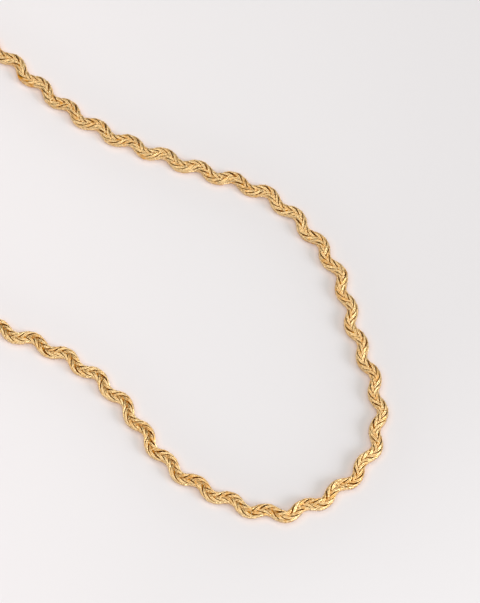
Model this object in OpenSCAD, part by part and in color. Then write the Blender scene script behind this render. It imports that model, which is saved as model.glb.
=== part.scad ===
// Choker: a plaited wheat chain set in an even wave, closed by a claw clasp.
// It lies flat as a whole loop. The front of the neck is towards -Y and the clasp is at the back, towards +Y.

/* [Chain] */
// Length of one wave, from crest to crest along the loop
wave_pitch = 9.2; // [8.8:0.1:9.6]
// Swing of the wave, from its middle line out to a crest
wave_swing = 0.85; // [0.5:0.05:1]
// Fullness of the crests: 0 is a plain sine, more is rounder
wave_fullness = 0.13; // [0:0.01:0.15]
// Width of the chain, across its top
chain_w = 2.9; // [2.6:0.1:3.1]
// Height of the chain above what it lies on
chain_h = 2.5; // [2.3:0.1:2.7]

/* [End caps] */
// Outer diameter of the sleeve on each chain end
cap_d = 3.1; // [3:0.1:3.3]
// Length of the sleeve
cap_len = 4; // [3.5:0.5:5]
// Wall of the sleeve
cap_wall = 0.2; // [0.15:0.05:0.3]

/* [Rings] */
// Diameter of the jump ring's wire
ring_wire = 0.5; // [0.4:0.05:0.5]
// Diameter of the wire that the eyes are bent from
eye_wire = 0.56; // [0.5:0.02:0.6]
// Diameter of an eye, from wire middle to wire middle
eye_d = 1.6; // [1.6:0.05:1.7]
// Lean of the jump rings from upright
ring_lean = 15; // [0:5:20]

/* [Clasp] */
// Width of the claw's bar where it turns at the hook
hook_bar = 0.76; // [0.7:0.02:0.76]
// Width of the claw over its hook
claw_w = 4.2; // [4:0.1:4.5]
// Thickness of the claw
claw_t = 1.1; // [0.9:0.1:1.1]
// Width of the claw's body at the tail
body_w = 3; // [2.8:0.1:3]
// Thickness of the body, which houses the spring
body_t = 2.2; // [1.8:0.1:2.4]

/* [Hidden] */

// Free space kept between loose pieces
gap = 0.1;
// Height of the axis that the caps, rings and clasp share
axis_z = cap_d / 2;
// Middle radius of a jump ring, which stands as high as the caps
ring_r = (cap_d - ring_wire) / 2;
// Wall that closes the sleeve, behind the chain's end
cap_end = 0.5;
// Radius of the sleeve's rounded shoulder
cap_round = 0.4;
cap_bore_r = cap_d / 2 - cap_wall;
// Sides of the swept chain, and rings of points in one wave
chain_sides = 10;
rings_per_wave = 14;
// Each chain end runs straight in its sleeve, then fades into the wave over this length
fade_len = 5;
// Distance along the chain from its right end to the first outward crest
first_crest = 2.6;
round_fn = 48;

// Route of the chain's middle line, as the control points of a uniform cubic B-spline. It starts right of the clasp
// and runs clockwise: down the right strand, round the front and up the left strand.
closure_y = 111;
route = [
    [-6, closure_y], [2, closure_y], [10, closure_y], [17, 106], [20.5, 97], [20, 85],
    [17.5, 71], [16.5, 54], [20.5, 37.5], [24, 23], [28, 10.5], [25, -4],
    [19.5, -18], [9, -27], [0.5, -42], [-13.5, -50], [-28.5, -46.5], [-40.5, -39.5],
    [-43.5, -25.5], [-45.5, -9], [-36, 9], [-35.5, 28.5], [-39, 41.5], [-41.5, 53.5],
    [-44, 67], [-45.5, 81], [-44.5, 94], [-40, 105], [-31, closure_y],
    [-22, closure_y], [-14, closure_y], [-6, closure_y]
];
right_end_x = 2;
left_end_x = -14;

// Point of the B-spline stretch i at its share u, from 0 to 1
function spline(i, u) =
    (route[i] * pow(1 - u, 3)
    + route[i + 1] * (3 * pow(u, 3) - 6 * pow(u, 2) + 4)
    + route[i + 2] * (-3 * pow(u, 3) + 3 * pow(u, 2) + 3 * u + 1)
    + route[i + 3] * pow(u, 3)) / 6;

// The route as a fine polyline, and the distance run at each of its points
fine_steps = 12;
stretches = len(route) - 3;
fine = [for (k = [0 : stretches * fine_steps])
    let (i = min(floor(k / fine_steps), stretches - 1))
    spline(i, k / fine_steps - i)];
run = [for (k = 0, s = 0; k < len(fine); k = k + 1, s = k < len(fine) ? s + norm(fine[k] - fine[k - 1]) : s) s];
chain_len = run[len(run) - 1];
run_x = [for (k = [0 : len(fine) - 1]) [run[k], fine[k].x]];
run_y = [for (k = [0 : len(fine) - 1]) [run[k], fine[k].y]];

function unit(v) = v / norm(v);
function left_of(v) = [-v.y, v.x];
function mix(a, b, share) = a + (b - a) * share;

// Place on the route at distance s, and the direction there
probe = 0.2;
function route_at(s) = [lookup(s, run_x), lookup(s, run_y)];
function heading(s) = unit(route_at(min(s + probe, chain_len)) - route_at(max(s - probe, 0)));

// 0 inside the sleeves, 1 where the chain has its full wave and size
function fade(s) =
    let (u = (min(s, chain_len - s) - (cap_len - cap_end)) / fade_len)
    let (v = max(0, min(1, u)))
    v * v * (3 - 2 * v);

// Middle line of the chain with its wave
function wave_at(s) =
    let (t = heading(s), turn = 360 * (s - first_crest) / wave_pitch)
    route_at(s) + fade(s) * (left_of(t) * wave_swing * cos(turn) + t * wave_fullness * sin(2 * turn));

function wave_heading(s) = unit(wave_at(min(s + probe, chain_len)) - wave_at(max(s - probe, 0)));

// One ring of points: round inside the sleeves, oval and a little lower elsewhere
function chain_ring(s) =
    let (
        middle = wave_at(s),
        side = left_of(wave_heading(s)),
        end_r = cap_bore_r - gap,
        half_w = mix(end_r, chain_w / 2, fade(s)),
        half_h = mix(end_r, chain_h / 2 / cos(180 / chain_sides), fade(s)),
        z = mix(axis_z, chain_h / 2, fade(s))
    )
    [for (k = [0 : chain_sides - 1])
        let (a = 360 * k / chain_sides)
        [middle.x + side.x * half_w * cos(a), middle.y + side.y * half_w * cos(a), z + half_h * sin(a)]];

ring_count = round(chain_len / wave_pitch * rings_per_wave);
chain_rings = [for (i = [0 : ring_count]) chain_ring(chain_len * i / ring_count)];
chain_points = [for (r = chain_rings) for (p = r) p];

// The loop is moved so that the middle of its box stands on the origin
x_low = min([for (p = chain_points) p.x]);
x_high = max([for (p = chain_points) p.x]);
y_low = min([for (p = chain_points) p.y]);
y_high = max(max([for (p = chain_points) p.y]), closure_y + claw_w / 2);
loop_shift = [-(x_low + x_high) / 2, -(y_low + y_high) / 2, 0];

// Distance from a chain end to the middle of its cap's eye
end_to_eye = gap + cap_end + eye_d / 2;
right_eye_x = right_end_x - end_to_eye;
left_eye_x = left_end_x + end_to_eye;
// The tail eye and the right cap's eye hang on two sides of one jump ring
tail_eye_x = right_eye_x - 2 * ring_r;
// The hook's corners bear on the inside of the left jump ring
hook_corner_z = claw_t / 2 / cos(ring_lean);
hook_inset = sqrt(pow(ring_r - ring_wire / 2 - gap, 2) - pow(hook_corner_z, 2)) - hook_bar / 2;
left_ring_x = left_eye_x + ring_r;
right_ring_x = right_eye_x - ring_r;
hook_x = left_ring_x + hook_inset;

// The whole chain, swept along its wave as one closed solid
module chain() {
    sides = [for (i = [0 : ring_count - 1]) for (k = [0 : chain_sides - 1])
        let (
            here = i * chain_sides,
            next = here + chain_sides,
            k2 = (k + 1) % chain_sides
        )
        for (face = [[here + k, here + k2, next + k2], [here + k, next + k2, next + k]]) face];
    first = [for (k = [chain_sides - 1 : -1 : 0]) k];
    last = [for (k = [0 : chain_sides - 1]) ring_count * chain_sides + k];
    color("#ebbb6b")
        translate(loop_shift)
            polyhedron(points = chain_points, faces = concat([first], sides, [last]));
}

// A round wire ring that lies flat, with its middle at the origin
module wire_ring(mid_r, wire_d) {
    rotate_extrude($fn = round_fn)
        translate([mid_r, 0])
            circle(d = wire_d, $fn = round_fn);
}

// A sleeve that opens towards +X, with its eye at the origin
module end_cap() {
    outer_r = cap_d / 2;
    union() {
        wire_ring(eye_d / 2, eye_wire);
        translate([eye_d / 2, 0, 0])
            rotate([0, 90, 0])
                rotate_extrude($fn = round_fn)
                    difference() {
                        union() {
                            translate([0, cap_round])
                                square([outer_r, cap_len - cap_round]);
                            square([outer_r - cap_round, cap_len]);
                            translate([outer_r - cap_round, cap_round])
                                circle(r = cap_round, $fn = round_fn);
                        }
                        translate([0, cap_end])
                            square([cap_bore_r, cap_len]);
                    }
    }
}

module on_closure(x) {
    translate(loop_shift + [x, closure_y, axis_z])
        children();
}

module end_cap_right() {
    color("#ebbb6b")
        on_closure(right_eye_x)
            end_cap();
}

module end_cap_left() {
    color("#ebbb6b")
        on_closure(left_eye_x)
            rotate([0, 0, 180])
                end_cap();
}

module jump_ring_right() {
    color("#e6b25e")
        on_closure(right_ring_x)
            rotate([90 - ring_lean, 0, 0])
                wire_ring(ring_r, ring_wire);
}

module jump_ring_left() {
    color("#e6b25e")
        on_closure(left_ring_x)
            rotate([90 + ring_lean, 0, 0])
                wire_ring(ring_r, ring_wire);
}

// Outline of a belt laid tight round two circles: one of radius near_r at the origin, one of radius far_r at distance
// span towards -X
arc_steps = 20;
function arc(x, r, from, to) =
    [for (k = [0 : arc_steps])
        let (a = mix(from, to, k / arc_steps))
        [x + r * cos(a), r * sin(a)]];
function belt(near_r, far_r, span) =
    let (lean = asin((far_r - near_r) / span))
    concat(arc(0, near_r, -90 - lean, 90 + lean), arc(-span, far_r, 90 + lean, 270 - lean));

// A closed claw in one piece: tail eye, body with its spring housing, bow and thumb lever. The tail eye is at the
// origin and the hook points along -X.
module claw() {
    hook_r = claw_w / 2;
    hook_mid = hook_x - hook_bar / 2 - tail_eye_x + hook_r;
    body_x = -(eye_d / 2 - eye_wire / 2 + body_w / 2);
    window_near_r = body_w / 6;
    window_x = body_x - body_w * 0.55;
    lever_r = hook_bar / 2;
    union() {
        wire_ring(eye_d / 2, eye_wire);
        translate([0, 0, -claw_t / 2])
            linear_extrude(claw_t)
                difference() {
                    translate([body_x, 0])
                        polygon(belt(body_w / 2, hook_r, body_x - hook_mid));
                    translate([window_x, 0])
                        polygon(belt(window_near_r, hook_r - hook_bar, window_x - hook_mid));
                }
        translate([body_x, 0, -body_t / 2])
            cylinder(d = body_w * 0.8, h = body_t, $fn = round_fn);
        translate([body_x - lever_r, -body_w / 2 - lever_r / 2, -claw_t / 2])
            cylinder(r = lever_r, h = claw_t, $fn = round_fn);
    }
}

module clasp() {
    color("#e6b25e")
        on_closure(tail_eye_x)
            claw();
}

chain();
end_cap_right();
end_cap_left();
jump_ring_right();
jump_ring_left();
clasp();
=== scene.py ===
import math

import bmesh
import bpy
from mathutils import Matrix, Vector


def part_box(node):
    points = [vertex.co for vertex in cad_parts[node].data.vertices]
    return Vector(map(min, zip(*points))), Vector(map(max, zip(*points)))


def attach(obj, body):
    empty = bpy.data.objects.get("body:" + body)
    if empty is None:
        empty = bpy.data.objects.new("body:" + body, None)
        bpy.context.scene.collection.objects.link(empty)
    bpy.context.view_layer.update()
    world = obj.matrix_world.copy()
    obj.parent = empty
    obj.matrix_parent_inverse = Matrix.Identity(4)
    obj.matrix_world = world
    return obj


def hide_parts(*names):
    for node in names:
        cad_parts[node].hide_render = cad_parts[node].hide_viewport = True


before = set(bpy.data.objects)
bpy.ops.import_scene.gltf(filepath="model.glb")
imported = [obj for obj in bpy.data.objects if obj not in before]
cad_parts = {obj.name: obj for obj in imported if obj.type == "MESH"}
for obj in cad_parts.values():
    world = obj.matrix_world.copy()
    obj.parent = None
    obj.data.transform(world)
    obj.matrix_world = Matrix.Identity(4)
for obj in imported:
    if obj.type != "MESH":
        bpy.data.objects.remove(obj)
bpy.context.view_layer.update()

MM = 0.001
scene = bpy.context.scene

# The chain
# A wheat chain of closed oval links of gold-plated wire, plaited in four columns and then pressed into an
# even, flat wave. Each link lies aslant over one edge of the square plait, from one face's groove to the next
# one's.
closure_y = 111
right_end_x = 2
sleeve_length = 3.4
sleeve_low, sleeve_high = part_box("end_cap_right")
sleeve_mid_y = (sleeve_low[1] + sleeve_high[1]) / 2
route_origin = Vector((sleeve_high[0] - (sleeve_length + right_end_x) * MM, sleeve_mid_y - closure_y * MM, 0))
# The control points of the chain's middle line, in mm, once round from the clasp
route = [
    (-6, closure_y), (right_end_x, closure_y), (10, closure_y), (17, 106), (20.5, 97), (20, 85),
    (17.5, 71), (16.5, 54), (20.5, 37.5), (24, 23), (28, 10.5), (25, -4),
    (19.5, -18), (9, -27), (0.5, -42), (-13.5, -50), (-28.5, -46.5), (-40.5, -39.5),
    (-43.5, -25.5), (-45.5, -9), (-36, 9), (-35.5, 28.5), (-39, 41.5), (-41.5, 53.5),
    (-44, 67), (-45.5, 81), (-44.5, 94), (-40, 105), (-31, closure_y),
    (-22, closure_y), (-14, closure_y), (-6, closure_y),
]
chain_w = 2.89 * MM
chain_h = 2.5 * MM
wave_sizes = {
    "Wave Pitch": 9.2 * MM,
    "Wave Swing": 0.85 * MM,
    "Wave Fullness": 0.13 * MM,
    "First Crest": 2.6 * MM,
    "Straight End": 3.5 * MM,
    "Fade Length": 5 * MM,
}
plait_sizes = {
    "Chain Width": chain_w,
    "Chain Height": chain_h,
    "End Half Width": 1.0 * MM,
    "End Height": 1.55 * MM,
    "Wire Diameter": 0.41 * MM,
    "Link Pitch": 1.992 * MM,
    "Link Slant": math.radians(23),
    "Link Opening": 0.152 * MM,
    "Edge Round": 0.6,
    "Top Groove": 0.42,
    "Side Groove": 0.08,
    "Lean": 0.05 * MM,
    "Unevenness": 0.07 * MM,
    "Link Turn": 0.03 / MM,
    "Link Tilt": 0.006 / MM,
}


class Value:
    """A number or a vector that a node tree works out. Sums written with it become Math nodes."""

    def __init__(self, socket):
        self.socket = socket
        self.tree = socket.id_data

    def math(self, operation, *others):
        return maths(self.tree, operation, self, *others)

    def __add__(self, other):
        return self.math("ADD", other)

    def __sub__(self, other):
        return self.math("SUBTRACT", other)

    def __mul__(self, other):
        return self.math("MULTIPLY", other)

    def __truediv__(self, other):
        return self.math("DIVIDE", other)

    def __rsub__(self, other):
        return maths(self.tree, "SUBTRACT", other, self)

    def __rtruediv__(self, other):
        return maths(self.tree, "DIVIDE", other, self)

    def __pow__(self, other):
        return self.math("POWER", other)

    def __abs__(self):
        return self.math("ABSOLUTE")

    __radd__ = __add__


def node(tree, kind, inputs=(), **settings):
    """Adds a node. inputs pairs a socket's name or number with what goes in: a number, or what feeds it."""
    new = tree.nodes.new(kind)
    for name, setting in settings.items():
        setattr(new, name, setting)
    for place, value in inputs:
        if isinstance(value, Value):
            value = value.socket
        if isinstance(value, bpy.types.NodeSocket):
            tree.links.new(value, new.inputs[place])
        else:
            new.inputs[place].default_value = value
    return new


def maths(tree, operation, *terms):
    return Value(node(tree, "ShaderNodeMath", enumerate(terms), operation=operation).outputs[0])


def vector_maths(tree, operation, *terms):
    out = "Value" if operation == "DOT_PRODUCT" else "Vector"
    return Value(node(tree, "ShaderNodeVectorMath", enumerate(terms), operation=operation).outputs[out])


def scaled(value, factor):
    spots = [(0, value), ("Scale", factor)]
    return Value(node(value.tree, "ShaderNodeVectorMath", spots, operation="SCALE").outputs[0])


def vector(tree, x=0.0, y=0.0, z=0.0):
    return Value(node(tree, "ShaderNodeCombineXYZ", [("X", x), ("Y", y), ("Z", z)]).outputs[0])


def parts(value):
    return [Value(out) for out in node(value.tree, "ShaderNodeSeparateXYZ", [(0, value)]).outputs]


def ramp(value, low, high, start=0.0, end=1.0, kind="SMOOTHSTEP"):
    """start below low, end above high, and a smooth change between."""
    spots = [("Value", value), (1, low), (2, high), (3, start), (4, end)]
    return Value(node(value.tree, "ShaderNodeMapRange", spots, interpolation_type=kind).outputs["Result"])


def tree_with(name, kind, inputs, outputs):
    """A node tree with named sockets, the values of its inputs by name, and its output node."""
    tree = bpy.data.node_groups.new(name, kind)
    for in_out, sockets in (("INPUT", inputs), ("OUTPUT", outputs)):
        for socket, socket_kind in sockets.items():
            tree.interface.new_socket(socket, in_out=in_out, socket_type="NodeSocket" + socket_kind)
    start = tree.nodes.new("NodeGroupInput")
    given = {out.name: Value(out) for out in start.outputs if out.name}
    return tree, given, tree.nodes.new("NodeGroupOutput")


# The route's middle line, thrown into the wave. The wave fades out towards the straight ends in the end caps.
path_step = 0.2 * MM
path_inputs = {"Route": "Geometry", **dict.fromkeys(wave_sizes, "Float")}
path, given, path_end = tree_with("wave_path", "GeometryNodeTree", path_inputs, {"Path": "Geometry"})
steps = [("Curve", given["Route"]), ("Length", path_step)]
fine = node(path, "GeometryNodeResampleCurve", steps, mode="LENGTH")
along = Value(node(path, "GeometryNodeSplineParameter").outputs["Length"])
whole = Value(node(path, "GeometryNodeSplineLength").outputs["Length"])
from_end = maths(path, "MINIMUM", along, whole - along)
fade = ramp(from_end, given["Straight End"], given["Straight End"] + given["Fade Length"])
turn = (along - given["First Crest"]) / given["Wave Pitch"] * math.tau
ahead = Value(node(path, "GeometryNodeInputTangent").outputs["Tangent"])
left = vector_maths(path, "CROSS_PRODUCT", (0, 0, 1), ahead)
sideways = scaled(left, given["Wave Swing"] * turn.math("COSINE") * fade)
lengthways = scaled(ahead, given["Wave Fullness"] * (turn * 2.0).math("SINE") * fade)


def kept(geometry, name, value, domain="POINT"):
    """Keeps a value on the geometry as a named attribute."""
    spots = [("Geometry", geometry), ("Name", name), ("Value", value)]
    stored = node(value.tree, "GeometryNodeStoreNamedAttribute", spots, data_type="FLOAT", domain=domain)
    return stored.outputs["Geometry"]


def captured(geometry, domain, values):
    """Fixes values, by name, as they are here, for use further on. Gives the geometry and the values."""
    fixed = node(geometry.id_data, "GeometryNodeCaptureAttribute", [("Geometry", geometry)], domain=domain)
    for name, value in values.items():
        fixed.capture_items.new("VECTOR" if value.socket.type == "VECTOR" else "FLOAT", name)
        geometry.id_data.links.new(value.socket, fixed.inputs[name])
    return fixed.outputs["Geometry"], {name: Value(fixed.outputs[name]) for name in values}


faded = kept(fine.outputs["Curve"], "fade", fade)
offset = vector_maths(path, "ADD", sideways, lengthways)
waved = node(path, "GeometryNodeSetPosition", [("Geometry", faded), ("Offset", offset)])
path.links.new(waved.outputs[0], path_end.inputs["Path"])


def wave_in(tree, given):
    """The wave path, placed in another tree."""
    placed = tree.nodes.new("GeometryNodeGroup")
    placed.node_tree = path
    for name in ("Route", *wave_sizes):
        tree.links.new(given[name].socket, placed.inputs[name])
    return placed.outputs["Path"]


def fade_in(tree):
    """The wave's fade, read where it was kept: 0 in the end caps and 1 along the chain."""
    named = node(tree, "GeometryNodeInputNamedAttribute", [("Name", "fade")], data_type="FLOAT")
    return Value(named.outputs["Attribute"])


plait_numbers = dict.fromkeys((*wave_sizes, *plait_sizes, "Column", "Stagger", "Hand"), "Float")
plait_inputs = {"Route": "Geometry", **plait_numbers, "Metal": "Material"}
plait, given, plait_end = tree_with("wheat_plait", "GeometryNodeTree", plait_inputs, {"Plait": "Geometry"})
wavy = wave_in(plait, given)

# One link, drawn on the unrolled surface of the plait and then rolled round its edge. reach goes from -1 in
# the groove behind the edge to 1 in the groove before it, and breadth from one long side of the link to the
# other. Its ends dive into the grooves. Where the dive starts and how far it goes past a groove's middle are
# in half sides of the plait.
link_points = 20
point_spread = 1.5
end_squareness = 6.0
past_groove = 0.3
dive_from = 0.3
circle = node(plait, "GeometryNodeCurvePrimitiveCircle", [("Resolution", link_points), ("Radius", 1.0)])
spot_x, spot_y = parts(Value(plait.nodes.new("GeometryNodeInputPosition").outputs["Position"]))[:2]
reach = spot_x.math("SIGN") * abs(spot_x) ** point_spread
end_fall = 1.0 - abs(spot_x) ** (point_spread * end_squareness)
breadth = spot_y.math("SIGN") * end_fall.math("MAXIMUM", 0.0).math("SQRT")
half_side = (given["Chain Width"] + given["Chain Height"]) / 4.0 - given["Wire Diameter"] / 2.0
edge_round = given["Edge Round"]
flat_part = 1.0 - edge_round
round_part = edge_round * (math.pi / 4)
half_way = flat_part + round_part
run = reach * (half_way + past_groove) * half_side
apart = breadth * given["Link Opening"]
slant = given["Link Slant"]
link_x = (run / slant.math("TANGENT") - apart * slant.math("SINE")) * given["Hand"]
way_round = (run + apart * slant.math("COSINE")) / half_side
side = way_round.math("SIGN")
on_round = abs(way_round).math("MINIMUM", round_part)
on_flat = abs(way_round) - on_round
lean_angle = on_round / edge_round
half_root = math.sqrt(0.5)
towards_top = side * given["Hand"] * 0.5 + 0.5
groove_depth = given["Side Groove"] + (given["Top Groove"] - given["Side Groove"]) * towards_top
dive = ramp(abs(way_round), dive_from, half_way + past_groove, 0.0, groove_depth)
lift = breadth * given["Hand"] * given["Lean"] / half_side - dive
out_x = flat_part * math.sqrt(2) + (edge_round + lift) * lean_angle.math("COSINE") - on_flat * half_root
out_y = side * ((edge_round + lift) * lean_angle.math("SINE") + on_flat * half_root)
link_spots = [("Geometry", circle.outputs["Curve"]), ("Position", vector(plait, link_x, out_x, out_y))]
shaped = node(plait, "GeometryNodeSetPosition", link_spots)

# The links in a straight row from end to end, one every pitch, turned to their column's edge. Each strays a
# little from its place, as pressed links do.
run_len = Value(node(plait, "GeometryNodeCurveLength", [("Curve", wavy)]).outputs["Length"])
count = (run_len / given["Link Pitch"] - given["Stagger"]).math("FLOOR") + 1.0
row = node(plait, "GeometryNodePoints", [("Count", count)])
number = Value(plait.nodes.new("GeometryNodeInputIndex").outputs["Index"])


def strays(seed):
    """Three random numbers for each link, from -1 to 1."""
    stray = node(plait, "FunctionNodeRandomValue", [("ID", number), ("Seed", seed)], data_type="FLOAT_VECTOR")
    stray.inputs[0].default_value = (-1, -1, -1)
    stray.inputs[1].default_value = (1, 1, 1)
    return parts(Value(stray.outputs[0]))


second_seeds = 7.0
swell_share = 0.4
stray_x, stray_y, stray_z = strays(given["Column"])
stray_turn, stray_tilt = strays(given["Column"] + second_seeds)[:2]
stray_along = stray_x * given["Unevenness"] / slant.math("SINE")
row_x = (number + given["Stagger"]) * given["Link Pitch"] + stray_along
row_spots = [("Geometry", row.outputs[0]), ("Position", vector(plait, row_x))]
placed = node(plait, "GeometryNodeSetPosition", row_spots)
edge_turn = (given["Column"] + 0.5) * (math.pi / 2) + stray_y * given["Unevenness"] / half_side
swell = 1.0 + stray_z * given["Unevenness"] * swell_share / half_side
link_places = [
    ("Points", placed.outputs[0]),
    ("Instance", shaped.outputs[0]),
    ("Rotation", vector(plait, edge_turn)),
    ("Scale", vector(plait, 1.0, swell, swell)),
]
links = node(plait, "GeometryNodeInstanceOnPoints", link_places)
toned = kept(links.outputs[0], "tone", stray_z, "INSTANCE")
stray_links, of_link = captured(toned, "INSTANCE", {"Centre": row_x, "Turn": stray_turn, "Tilt": stray_tilt})
loose = node(plait, "GeometryNodeRealizeInstances", [(0, stray_links)])

# The row is bent along the wave. X becomes the way along it, and Y and Z the place in its cross-section. What
# reaches past an end of the chain is folded flat there, inside the end cap.
flat_x, flat_y, flat_z = parts(Value(plait.nodes.new("GeometryNodeInputPosition").outputs["Position"]))
from_centre = flat_x - of_link["Centre"]
turned = from_centre * of_link["Turn"] * given["Link Turn"]
swelled = from_centre * of_link["Tilt"] * given["Link Tilt"] + 1.0
flat_y, flat_z = (
    (flat_y * turned.math("COSINE") - flat_z * turned.math("SINE")) * swelled,
    (flat_y * turned.math("SINE") + flat_z * turned.math("COSINE")) * swelled,
)
flat_x = flat_x.math("MAXIMUM", given["Wire Diameter"]).math("MINIMUM", run_len - given["Wire Diameter"])
flat_y = flat_y.math("MAXIMUM", -1.0).math("MINIMUM", 1.0)
flat_z = flat_z.math("MAXIMUM", -1.0).math("MINIMUM", 1.0)


def on_path(kind, value=None):
    """The wave's place, tangent or a value on it, at each point's X."""
    sample = node(plait, "GeometryNodeSampleCurve", [("Curves", wavy), ("Length", flat_x)], mode="LENGTH")
    sample.use_all_curves = True
    sample.data_type = "FLOAT"
    if value is not None:
        plait.links.new(value.socket, sample.inputs["Value"])
    return Value(sample.outputs[kind])


full = on_path("Value", fade_in(plait))
beside = vector_maths(plait, "NORMALIZE", vector_maths(plait, "CROSS_PRODUCT", (0, 0, 1), on_path("Tangent")))


def blend(full, at_end, beyond):
    """at_end in the end caps, beyond along the chain."""
    return ramp(full, 0.0, 1.0, at_end, beyond, "LINEAR")


wire_r = given["Wire Diameter"] * 0.5
half_w = blend(full, given["End Half Width"], given["Chain Width"] * 0.5) - wire_r
half_h = blend(full, given["End Half Width"], given["Chain Height"] * 0.5) - wire_r
middle_z = blend(full, given["End Height"], given["Chain Height"] * 0.5)
sideways_in = scaled(beside, flat_y * half_w)
upward_in = vector(plait, 0.0, 0.0, flat_z * half_h + middle_z)
beside_path = vector_maths(plait, "ADD", on_path("Position"), sideways_in)
bent_spot = vector_maths(plait, "ADD", beside_path, upward_in)
bent = node(plait, "GeometryNodeSetPosition", [("Geometry", loose.outputs[0]), ("Position", bent_spot)])
outer_w = half_w + wire_r
outer_h = half_h + wire_r
middle = vector_maths(plait, "ADD", on_path("Position"), vector(plait, 0.0, 0.0, middle_z))
threads, of_place = captured(
    bent.outputs[0], "POINT", {"Middle": middle, "Across": scaled(beside, 1.0 / outer_w), "Up": 1.0 / outer_h}
)
wire_sides = 5
wire = node(plait, "GeometryNodeCurvePrimitiveCircle", [("Radius", wire_r), ("Resolution", wire_sides)])
solid = node(plait, "GeometryNodeCurveToMesh", [("Curve", threads), ("Profile Curve", wire.outputs["Curve"])])
smooth = node(plait, "GeometryNodeSetShadeSmooth", [("Geometry", solid.outputs["Mesh"])])

# How deep each place lies below the plait's outer face, for tarnish and painted shade: 0 on the wires' crowns
# and at the plait's sides, 1 down in the gaps on top and underneath. The gaps are darkened partly as tarnish
# and partly as painted shade.
outline_power = 4.0
gap_floor = 0.82
surface_spot = Value(plait.nodes.new("GeometryNodeInputPosition").outputs["Position"])
from_middle = vector_maths(plait, "SUBTRACT", surface_spot, of_place["Middle"])
sideways_out = vector_maths(plait, "DOT_PRODUCT", from_middle, of_place["Across"])
upward_out = parts(from_middle)[2] * of_place["Up"]
outwards = (sideways_out ** outline_power + upward_out ** outline_power) ** (1.0 / outline_power)
recess = ramp(outwards, 1.0, gap_floor) * (1.0 - sideways_out * sideways_out)


def dressed(geometry, metal):
    """A tree's last steps: real faces, in their metal."""
    joined = node(metal.tree, "GeometryNodeRealizeInstances", [(0, geometry)])
    spots = [("Geometry", joined.outputs[0]), ("Material", metal)]
    return node(metal.tree, "GeometryNodeSetMaterial", spots).outputs["Geometry"]


woven = kept(smooth.outputs[0], "recess", recess)
plait.links.new(dressed(woven, given["Metal"]), plait_end.inputs["Plait"])

# The heart of the plait, where the links' ends are packed. It shows only as brown depths between the wires,
# coloured in full with the deep gold of painted shade and tarnish.
heart_step = 0.5 * MM
heart_sides = 10
heart_numbers = dict.fromkeys((*wave_sizes, "Chain Height", "End Height", "Heart Radius"), "Float")
heart_inputs = {"Route": "Geometry", **heart_numbers, "Metal": "Material"}
heart, given, heart_end = tree_with("plait_heart", "GeometryNodeTree", heart_inputs, {"Heart": "Geometry"})
heart_lift = vector(heart, 0.0, 0.0, blend(fade_in(heart), given["End Height"], given["Chain Height"] * 0.5))
raised = node(heart, "GeometryNodeSetPosition", [("Geometry", wave_in(heart, given)), ("Offset", heart_lift)])
steps = [("Curve", raised.outputs[0]), ("Length", heart_step)]
sparse = node(heart, "GeometryNodeResampleCurve", steps, mode="LENGTH")
round_rod = [("Radius", given["Heart Radius"]), ("Resolution", heart_sides)]
rod = node(heart, "GeometryNodeCurvePrimitiveCircle", round_rod)
swept = [("Curve", sparse.outputs[0]), ("Profile Curve", rod.outputs["Curve"]), ("Fill Caps", True)]
tube = node(heart, "GeometryNodeCurveToMesh", swept)
smooth = node(heart, "GeometryNodeSetShadeSmooth", [("Geometry", tube.outputs["Mesh"])])
heart.links.new(dressed(smooth.outputs[0], given["Metal"]), heart_end.inputs["Heart"])

# Gold plate: warm and a little uneven, darker and duller where polish can't reach, with fine marks and dents.
# The darkening in the hollows is partly tarnish and partly painted shade.
plate_numbers = dict.fromkeys(("Recess", "Tone", "Dullness", "Dents", "Flecks"), "Float")
plate_inputs = {"Bright": "Color", "Deep": "Color", **plate_numbers}
plate_outputs = {"Colour": "Color", "Roughness": "Float", "Height": "Float"}
plate, given, plate_end = tree_with("gold_plate", "ShaderNodeTree", plate_inputs, plate_outputs)
place = Value(node(plate, "ShaderNodeTexCoord").outputs["Object"])


def noise(scale, detail):
    """Grey clouds from 0 to 1, about as many to a metre as scale says."""
    spots = [("Vector", place), ("Scale", scale), ("Detail", detail)]
    return Value(node(plate, "ShaderNodeTexNoise", spots).outputs[0])


cloud_share, tone_share = 0.6, 0.3
tarnish_dullness, marks_dullness = 0.14, 0.12
marks_height = 0.004
cloud = noise(260.0, 2.0)
marks = noise(7000.0, 3.0)
flecks = noise(1500.0, 0.0)
dents = noise(2000.0, 1.0)
# The hollows are mixed towards the deep gold, partly as tarnish and partly as painted shade between the wires
tarnish_and_shade = given["Recess"] + (cloud - 0.5) * cloud_share + (flecks - 0.5) * given["Flecks"]
tarnish_and_shade = (tarnish_and_shade + given["Tone"] * tone_share).math("MINIMUM", 1.0).math("MAXIMUM", 0.0)
# The colour sockets of a Mix node have no names of their own
first_colour, second_colour, mixed_colour = 6, 7, 2
tarnished_and_shaded = [("Factor", tarnish_and_shade), (first_colour, given["Bright"]), (second_colour, given["Deep"])]
colour = node(plate, "ShaderNodeMix", tarnished_and_shaded, data_type="RGBA").outputs[mixed_colour]
dull = given["Dullness"] + tarnish_and_shade * tarnish_dullness + (marks - 0.5) * marks_dullness
plate.links.new(colour, plate_end.inputs["Colour"])
plate.links.new(dull.socket, plate_end.inputs["Roughness"])
plate.links.new((marks * marks_height + dents * given["Dents"]).socket, plate_end.inputs["Height"])


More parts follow.
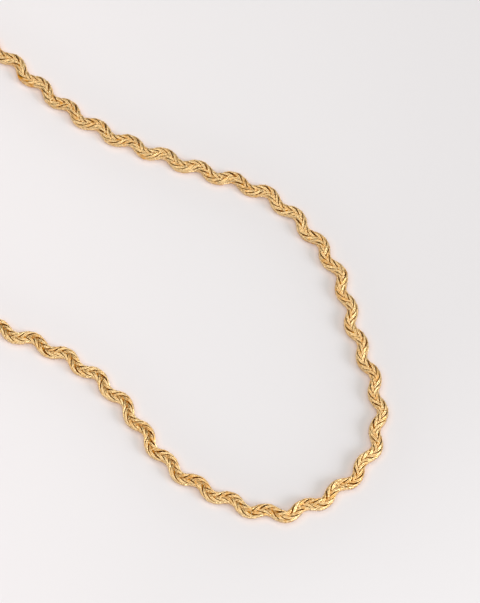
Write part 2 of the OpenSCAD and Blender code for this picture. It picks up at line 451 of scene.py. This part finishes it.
def gold_metal(name, bright, deep, dullness, recess=0.0, dents=0.0, flecks=0.0):
    """A gold-plated metal. recess, the share of tarnish and painted shade, is a number or the attribute that
    holds it, and dents is in mm.
    """
    metal = bpy.data.materials.new(name)
    metal.use_nodes = True
    tree = metal.node_tree
    shader = tree.nodes["Principled BSDF"]
    shader.inputs["Metallic"].default_value = 1
    surface = tree.nodes.new("ShaderNodeGroup")
    surface.node_tree = plate
    surface.inputs["Bright"].default_value = bright
    surface.inputs["Deep"].default_value = deep
    surface.inputs["Dullness"].default_value = dullness
    surface.inputs["Dents"].default_value = dents
    surface.inputs["Flecks"].default_value = flecks
    if isinstance(recess, str):
        for socket, attribute in (("Recess", recess), ("Tone", "tone")):
            found = node(tree, "ShaderNodeAttribute", attribute_name=attribute)
            tree.links.new(found.outputs["Fac"], surface.inputs[socket])
    else:
        surface.inputs["Recess"].default_value = recess
    bump = node(tree, "ShaderNodeBump", [("Height", surface.outputs["Height"]), ("Distance", MM)])
    tree.links.new(surface.outputs["Colour"], shader.inputs["Base Color"])
    tree.links.new(surface.outputs["Roughness"], shader.inputs["Roughness"])
    tree.links.new(bump.outputs["Normal"], shader.inputs["Normal"])
    return metal


bright_gold = (0.83, 0.603, 0.322, 1)
deep_gold = (0.72, 0.32, 0.02, 1)
chain_gold = gold_metal(
    "chain_gold", bright_gold, deep_gold, dullness=0.26, recess="recess", dents=0.1, flecks=1.2
)
# The heart is all deep gold: painted shade of the plait's depths, with tarnish
heart_gold = gold_metal("heart_gold", bright_gold, deep_gold, dullness=0.5, recess=1.0)


def route_curve(name):
    """The route as a uniform cubic B-spline, as the source sweeps it."""
    curve = bpy.data.curves.new(name, "CURVE")
    curve.dimensions = "3D"
    spline = curve.splines.new("NURBS")
    spline.points.add(len(route) - 1)
    for point, (x, y) in zip(spline.points, route):
        point.co = (*(route_origin + Vector((x, y, 0)) * MM), 1)
    spline.order_u = 4
    spline.use_endpoint_u = False
    spline.resolution_u = 24
    return curve


def grown(name, tree, inputs):
    """What a tree makes on the route, as a plain mesh that stands for the chain."""
    route_object = bpy.data.objects.new(name + "_route", route_curve(name + "_route"))
    scene.collection.objects.link(route_object)
    weave = route_object.modifiers.new(name, "NODES")
    weave.node_group = tree
    for item in tree.interface.items_tree:
        if item.item_type == "SOCKET" and item.in_out == "INPUT" and item.name in inputs:
            weave[item.identifier] = inputs[item.name]
    mesh = bpy.data.meshes.new_from_object(route_object.evaluated_get(bpy.context.evaluated_depsgraph_get()))
    mesh.name = name
    piece = bpy.data.objects.new(name, mesh)
    scene.collection.objects.link(piece)
    bpy.data.objects.remove(route_object)
    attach(piece, "root")
    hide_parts("chain")
    return piece


sizes = {**wave_sizes, **plait_sizes}
for column in range(4):
    own = {"Column": float(column), "Stagger": 0.5 * (column % 2), "Hand": 1.0 - 2.0 * (column % 2)}
    grown(f"chain_column_{column + 1}", plait, {**sizes, **own, "Metal": chain_gold})
grown("chain_heart", heart, {**sizes, "Heart Radius": 0.82 * MM, "Metal": heart_gold})

# The end caps and jump rings
# A turned sleeve with an eye on each end of the plait and a round wire ring in each eye, of brass plated like
# the chain and polished brighter. Their solids stay as the source makes them.
polished_gold = (0.92, 0.64, 0.31, 1)
fitting_gold = gold_metal("fitting_gold", polished_gold, deep_gold, dullness=0.2, recess=0.15, dents=0.005)
for name in ("end_cap_right", "end_cap_left", "jump_ring_right", "jump_ring_left"):
    for metal_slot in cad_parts[name].material_slots:
        metal_slot.material = fitting_gold

# The clasp
# A closed claw clasp, cast in one piece in plated brass and tumbled until its edges are round: the solid's
# own form, welded, cut into fine cells and smoothed.
cell = 0.08 * MM
weld = 0.001 * MM
cast_form = bmesh.new()
cast_form.from_mesh(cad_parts["clasp"].data)
bmesh.ops.remove_doubles(cast_form, verts=cast_form.verts, dist=weld)
blank_mesh = bpy.data.meshes.new("clasp_blank")
cast_form.to_mesh(blank_mesh)
cast_form.free()
blank = bpy.data.objects.new("clasp_blank", blank_mesh)
scene.collection.objects.link(blank)
cells = blank.modifiers.new("cells", "REMESH")
cells.mode = "VOXEL"
cells.voxel_size = cell
tumbling = blank.modifiers.new("tumbling", "SMOOTH")
tumbling.factor = 0.5
tumbling.iterations = 12
claw_mesh = bpy.data.meshes.new_from_object(blank.evaluated_get(bpy.context.evaluated_depsgraph_get()))
claw_mesh.name = "clasp_cast"
claw_mesh.shade_smooth()
claw_mesh.materials.clear()
claw_mesh.materials.append(fitting_gold)
bpy.data.objects.remove(blank)
claw = bpy.data.objects.new("clasp_cast", claw_mesh)
scene.collection.objects.link(claw)
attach(claw, "root")
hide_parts("clasp")

# The camera
# High above the loop, on its front left side, and aimed at its front half. The closure lies past the
# picture's left edge.
picture_h = 603
camera_turn = math.radians(55)
camera_right = Vector((math.cos(camera_turn), -math.sin(camera_turn), 0))
camera_far = Vector((math.sin(camera_turn), math.cos(camera_turn), 0))
camera_lift = math.radians(70.46)
camera_distance = 730.7 * MM
focal_pixels = 2979
camera_data = bpy.data.cameras.new("camera")
camera_data.sensor_fit = "VERTICAL"
camera_data.sensor_height = 36
camera_data.lens = focal_pixels / picture_h * camera_data.sensor_height
camera_data.clip_start = 0.01
camera = bpy.data.objects.new("camera", camera_data)
scene.collection.objects.link(camera)
scene.camera = camera
camera_target = route_origin + Vector((0, 0, chain_h / 2))
camera_place = camera_target + camera_distance * (
    Vector((0, 0, math.sin(camera_lift))) - camera_far * math.cos(camera_lift)
)
camera.location = camera_place
camera.rotation_euler = (camera_target - camera_place).to_track_quat("-Z", "Y").to_euler()

# The sheet
# A pale matt sheet under the chain, with painted light that makes it a little warmer and brighter towards the
# picture's left edge. Close to the chain a warm glow, painted light bounced from the gold, is added to its
# colour.
table_half = 900 * MM
paper_tint = (0.758, 0.748, 0.807)
left_light_warmth = 0.14
painted_chain_glow = (0.27, 0.06, -0.04)
glow_reach = 2.2 * MM
table_mesh = bpy.data.meshes.new("table")
table_mesh.from_pydata(
    [(x * table_half, y * table_half, 0) for x, y in ((-1, -1), (1, -1), (1, 1), (-1, 1))], [], [(0, 1, 2, 3)]
)
table = bpy.data.objects.new("table", table_mesh)
scene.collection.objects.link(table)
table_paper = bpy.data.materials.new("table_paper")
table_paper.use_nodes = True
paper_tree = table_paper.node_tree
paper = paper_tree.nodes["Principled BSDF"]
paper.inputs["Roughness"].default_value = 0.9
paper.inputs["Specular IOR Level"].default_value = 0.2
paper_spot = Value(node(paper_tree, "ShaderNodeTexCoord").outputs["Object"])
spot_x, spot_y = parts(paper_spot)[:2]
across = spot_x * camera_right.x + spot_y * camera_right.y - camera_target.dot(camera_right)
upward = spot_x * camera_far.x + spot_y * camera_far.y - camera_target.dot(camera_far)
# Painted light and shade: lighter towards the picture's left edge and its lower right corner, and darker
# towards its right edge
left_light = ramp(across, -66 * MM, 8 * MM, 0.06, 0.0)
right_shade = ramp(across, -10 * MM, 66 * MM, 0.0, 0.055)
corner_light = ramp(across - upward, 50 * MM, 150 * MM, 0.0, 0.09)
paper_light = left_light - right_shade + corner_light + 1.0
# Painted light: a warm glow bounced from the gold, strongest where the sheet is close to the chain
near = 1.0 - Value(node(paper_tree, "ShaderNodeAmbientOcclusion", [("Distance", glow_reach)]).outputs["AO"])
red, green, blue = (paper_light * tint for tint in paper_tint)
red = red + left_light * left_light_warmth
glowing = [part * (near * glow + 1.0) for part, glow in zip((red, green, blue), painted_chain_glow)]
paper_colour = vector(paper_tree, *glowing)
paper_tree.links.new(paper_colour.socket, paper.inputs["Base Color"])
fibres = node(paper_tree, "ShaderNodeTexNoise", [("Vector", paper_spot), ("Scale", 900.0), ("Detail", 4.0)])
tooth = node(paper_tree, "ShaderNodeBump", [("Height", fibres.outputs[0]), ("Distance", 0.01 * MM)])
paper_tree.links.new(tooth.outputs["Normal"], paper.inputs["Normal"])
table_mesh.materials.append(table_paper)

# The light
# A big soft light over the chain, daylight from low on the picture's right, and a pale room with a dim, warm
# ceiling.
scene.view_settings.view_transform = "Standard"
scene.view_settings.look = "None"
room = bpy.data.worlds.new("pale_room")
room.use_nodes = True
sky = room.node_tree.nodes["Background"]
sky_height = parts(Value(node(room.node_tree, "ShaderNodeTexCoord").outputs["Generated"]))[2]
wall_low, wall_high = 0.1, 0.38
wall_tint = (1.0, 0.97, 0.94)
ceiling_tint = (1.0, 0.93, 0.68)
wall_strength, ceiling_strength = 2.6, 0.25
tint = [ramp(sky_height, wall_low, wall_high, low, high) for low, high in zip(wall_tint, ceiling_tint)]
strength = ramp(sky_height, wall_low, wall_high, wall_strength, ceiling_strength)
room.node_tree.links.new(vector(room.node_tree, *tint).socket, sky.inputs["Color"])
room.node_tree.links.new(strength.socket, sky.inputs["Strength"])
scene.world = room


def lamp(name, turn, lift, distance, width, watts, colour):
    """A soft round lamp. turn is its side in the picture, from its right and turning to its far side."""
    lamp_data = bpy.data.lights.new(name, "AREA")
    lamp_data.shape = "DISK"
    lamp_data.size = width
    lamp_data.energy = watts
    lamp_data.color = colour
    lamp_object = bpy.data.objects.new(name, lamp_data)
    level = camera_right * math.cos(turn) + camera_far * math.sin(turn)
    lamp_from = level * math.cos(lift) + Vector((0, 0, math.sin(lift)))
    lamp_object.location = camera_target + lamp_from * distance
    lamp_object.rotation_euler = (-lamp_from).to_track_quat("-Z", "Y").to_euler()
    scene.collection.objects.link(lamp_object)


lamp(
    "overhead", turn=math.radians(225), lift=math.radians(85), distance=0.95, width=1.2, watts=6.4,
    colour=(1.0, 0.98, 0.95),
)
lamp(
    "window", turn=math.radians(-23), lift=math.radians(30), distance=2.4, width=1.16, watts=30,
    colour=(0.92, 0.97, 1.0),
)
